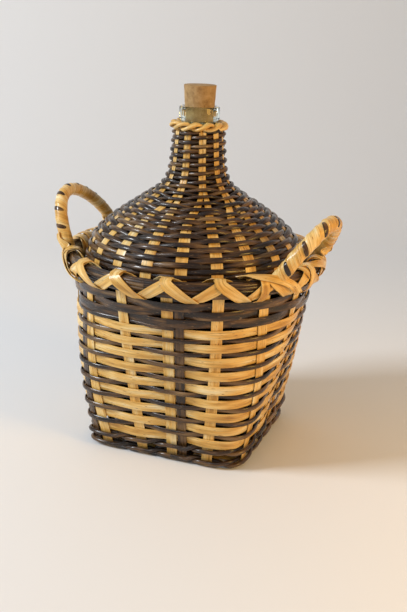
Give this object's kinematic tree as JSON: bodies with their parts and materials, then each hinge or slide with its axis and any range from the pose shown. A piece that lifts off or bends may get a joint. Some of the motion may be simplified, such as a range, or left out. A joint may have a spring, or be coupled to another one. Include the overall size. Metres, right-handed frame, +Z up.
{
  "type": "wicker demijohn",
  "caption": "Demijohn: a corked glass bottle with a woven cover on its shoulder and neck, in a two-handled basket of light and dark split cane.",
  "frame": {"origin": "centre of the underside, on the middle of the strip that runs across the base", "axes": "+Z up along the bottle's axis; -Y is the front; the handles are at -X and +X"},
  "size_m": [0.3299, 0.2972, 0.4085],
  "materials": {
    "light_cane": "satin straw-coloured split cane",
    "dark_cane": "satin dark brown stained cane",
    "cork": "matt cork",
    "green_glass": "clear pale green glass"
  },
  "bodies": {
    "demijohn": {"glass_body": "green_glass", "glass_shoulder": "green_glass", "glass_neck": "green_glass", "long_splint_1": "light_cane", "long_splint_2": "light_cane", "long_splint_3": "light_cane", "long_splint_4": "light_cane", "cross_splint_1": "light_cane", "cross_splint_2": "light_cane", "cross_splint_3": "light_cane", "cross_splint_4": "light_cane", "dark_splint_1": "dark_cane", "dark_splint_2": "dark_cane", "base_runner": "dark_cane", "foot_rod_1": "dark_cane", "foot_rod_2": "dark_cane", "foot_rod_3": "dark_cane", "foot_rod_4": "dark_cane", "light_weaver_1": "light_cane", "light_weaver_2": "light_cane", "dark_weaver_1": "dark_cane", "dark_weaver_2": "dark_cane", "dark_top_band_1": "dark_cane", "dark_top_band_2": "dark_cane", "dark_top_band_3": "dark_cane", "rim_outer_hoop": "dark_cane", "rim_inner_hoop": "dark_cane", "rim_lashing_1": "light_cane", "rim_lashing_2": "light_cane", "cover_stake_1": "light_cane", "cover_stake_2": "light_cane", "cover_stake_3": "light_cane", "cover_stake_4": "light_cane", "cover_stake_5": "light_cane", "cover_stake_6": "light_cane", "cover_stake_7": "light_cane", "cover_stake_8": "light_cane", "cover_stake_9": "light_cane", "cover_stake_10": "light_cane", "cover_stake_11": "light_cane", "cover_stake_12": "light_cane", "cover_stake_13": "light_cane", "cover_stake_14": "light_cane", "cover_stake_15": "light_cane", "cover_stake_16": "light_cane", "cover_stake_17": "light_cane", "cover_stake_18": "light_cane", "cover_stake_19": "light_cane", "cover_stake_20": "light_cane", "cover_weaver_1": "dark_cane", "cover_weaver_2": "dark_cane", "neck_collar_1": "light_cane", "neck_collar_2": "light_cane", "handle_core_right": "light_cane", "handle_wrap_right": "light_cane", "handle_strip_right": "dark_cane", "handle_core_left": "light_cane", "handle_wrap_left": "light_cane", "handle_strip_left": "dark_cane"},
    "stopper": {"cork": "cork"}
  },
  "joints": [
    {"name": "cork_pull", "type": "slide", "parent": "demijohn", "child": "stopper", "axis": [0, 0, 1], "range_m": [0, 0.03]}
  ]
}
